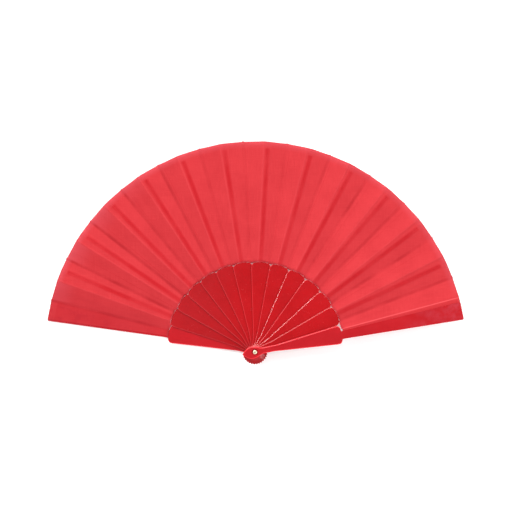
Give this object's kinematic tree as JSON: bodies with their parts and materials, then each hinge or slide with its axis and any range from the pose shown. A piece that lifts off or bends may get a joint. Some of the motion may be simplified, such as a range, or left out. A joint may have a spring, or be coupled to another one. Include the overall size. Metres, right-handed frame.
{
  "type": "folding hand fan",
  "caption": "Folding hand fan shown open: overlapping tapered plastic sticks turn on one rivet and spread a pleated fabric leaf between two guards.",
  "frame": {"origin": "centre of the flat rear head of the rivet, on the plane of the back guard's rear face; every stick turns about +Z through it", "axes": "+Z out of the front face of the fan, +X towards the front guard side and along the open fan's greatest width, +Y from the rivet to the top of the open leaf"},
  "size_m": [0.4305, 0.2311, 0.0199],
  "materials": {
    "guard_plastic": "smooth moulded, glossy",
    "rib_plastic": "smooth moulded, glossy",
    "leaf_cloth": "thin plain-weave polyester, pleated",
    "rivet_brass": "polished"
  },
  "bodies": {
    "back_guard": {"back_guard": "guard_plastic", "rivet_pin": "rivet_brass", "rivet_cap": "rivet_brass", "leaf_panel_13": "leaf_cloth"},
    "rib_12": {"rib_12": "rib_plastic", "leaf_panel_12": "leaf_cloth", "leaf_gusset_12": "leaf_cloth"},
    "rib_11": {"rib_11": "rib_plastic", "leaf_panel_11": "leaf_cloth", "leaf_gusset_11": "leaf_cloth"},
    "rib_10": {"rib_10": "rib_plastic", "leaf_panel_10": "leaf_cloth", "leaf_gusset_10": "leaf_cloth"},
    "rib_09": {"rib_09": "rib_plastic", "leaf_panel_09": "leaf_cloth", "leaf_gusset_09": "leaf_cloth"},
    "rib_08": {"rib_08": "rib_plastic", "leaf_panel_08": "leaf_cloth", "leaf_gusset_08": "leaf_cloth"},
    "rib_07": {"rib_07": "rib_plastic", "leaf_panel_07": "leaf_cloth", "leaf_gusset_07": "leaf_cloth"},
    "rib_06": {"rib_06": "rib_plastic", "leaf_panel_06": "leaf_cloth", "leaf_gusset_06": "leaf_cloth"},
    "rib_05": {"rib_05": "rib_plastic", "leaf_panel_05": "leaf_cloth", "leaf_gusset_05": "leaf_cloth"},
    "rib_04": {"rib_04": "rib_plastic", "leaf_panel_04": "leaf_cloth", "leaf_gusset_04": "leaf_cloth"},
    "rib_03": {"rib_03": "rib_plastic", "leaf_panel_03": "leaf_cloth", "leaf_gusset_03": "leaf_cloth"},
    "rib_02": {"rib_02": "rib_plastic", "leaf_panel_02": "leaf_cloth", "leaf_gusset_02": "leaf_cloth"},
    "rib_01": {"rib_01": "rib_plastic", "leaf_panel_01": "leaf_cloth", "leaf_gusset_01": "leaf_cloth"},
    "front_guard": {"front_guard": "guard_plastic", "leaf_panel_00": "leaf_cloth", "leaf_gusset_00": "leaf_cloth"}
  },
  "joints": [
    {"name": "turn_rib_12", "type": "hinge", "parent": "back_guard", "child": "rib_12", "pos_m": [0, 0, 0], "axis": [0, 0, 1], "range_deg": [0, 11.27], "deforming": ["leaf_gusset_12"]},
    {"name": "turn_rib_11", "type": "hinge", "parent": "rib_12", "child": "rib_11", "pos_m": [0, 0, 0], "axis": [0, 0, 1], "range_deg": [0, 12.09], "deforming": ["leaf_gusset_11"]},
    {"name": "turn_rib_10", "type": "hinge", "parent": "rib_11", "child": "rib_10", "pos_m": [0, 0, 0], "axis": [0, 0, 1], "range_deg": [0, 12.09], "deforming": ["leaf_gusset_10"]},
    {"name": "turn_rib_09", "type": "hinge", "parent": "rib_10", "child": "rib_09", "pos_m": [0, 0, 0], "axis": [0, 0, 1], "range_deg": [0, 12.09], "deforming": ["leaf_gusset_09"]},
    {"name": "turn_rib_08", "type": "hinge", "parent": "rib_09", "child": "rib_08", "pos_m": [0, 0, 0], "axis": [0, 0, 1], "range_deg": [0, 12.09], "deforming": ["leaf_gusset_08"]},
    {"name": "turn_rib_07", "type": "hinge", "parent": "rib_08", "child": "rib_07", "pos_m": [0, 0, 0], "axis": [0, 0, 1], "range_deg": [0, 12.09], "deforming": ["leaf_gusset_07"]},
    {"name": "turn_rib_06", "type": "hinge", "parent": "rib_07", "child": "rib_06", "pos_m": [0, 0, 0], "axis": [0, 0, 1], "range_deg": [0, 12.09], "deforming": ["leaf_gusset_06"]},
    {"name": "turn_rib_05", "type": "hinge", "parent": "rib_06", "child": "rib_05", "pos_m": [0, 0, 0], "axis": [0, 0, 1], "range_deg": [0, 12.09], "deforming": ["leaf_gusset_05"]},
    {"name": "turn_rib_04", "type": "hinge", "parent": "rib_05", "child": "rib_04", "pos_m": [0, 0, 0], "axis": [0, 0, 1], "range_deg": [0, 12.09], "deforming": ["leaf_gusset_04"]},
    {"name": "turn_rib_03", "type": "hinge", "parent": "rib_04", "child": "rib_03", "pos_m": [0, 0, 0], "axis": [0, 0, 1], "range_deg": [0, 12.09], "deforming": ["leaf_gusset_03"]},
    {"name": "turn_rib_02", "type": "hinge", "parent": "rib_03", "child": "rib_02", "pos_m": [0, 0, 0], "axis": [0, 0, 1], "range_deg": [0, 12.09], "deforming": ["leaf_gusset_02"]},
    {"name": "turn_rib_01", "type": "hinge", "parent": "rib_02", "child": "rib_01", "pos_m": [0, 0, 0], "axis": [0, 0, 1], "range_deg": [0, 12.09], "deforming": ["leaf_gusset_01"]},
    {"name": "turn_front_guard", "type": "hinge", "parent": "rib_01", "child": "front_guard", "pos_m": [0, 0, 0], "axis": [0, 0, 1], "range_deg": [0, 11.34], "deforming": ["leaf_gusset_00"]}
  ],
  "couplings": [
    {"joint": "turn_rib_11", "follows": "turn_rib_12", "ratio": 1.0728},
    {"joint": "turn_rib_10", "follows": "turn_rib_12", "ratio": 1.0728},
    {"joint": "turn_rib_09", "follows": "turn_rib_12", "ratio": 1.0728},
    {"joint": "turn_rib_08", "follows": "turn_rib_12", "ratio": 1.0728},
    {"joint": "turn_rib_07", "follows": "turn_rib_12", "ratio": 1.0728},
    {"joint": "turn_rib_06", "follows": "turn_rib_12", "ratio": 1.0728},
    {"joint": "turn_rib_05", "follows": "turn_rib_12", "ratio": 1.0728},
    {"joint": "turn_rib_04", "follows": "turn_rib_12", "ratio": 1.0728},
    {"joint": "turn_rib_03", "follows": "turn_rib_12", "ratio": 1.0728},
    {"joint": "turn_rib_02", "follows": "turn_rib_12", "ratio": 1.0728},
    {"joint": "turn_rib_01", "follows": "turn_rib_12", "ratio": 1.0728},
    {"joint": "turn_front_guard", "follows": "turn_rib_12", "ratio": 1.0062}
  ]
}
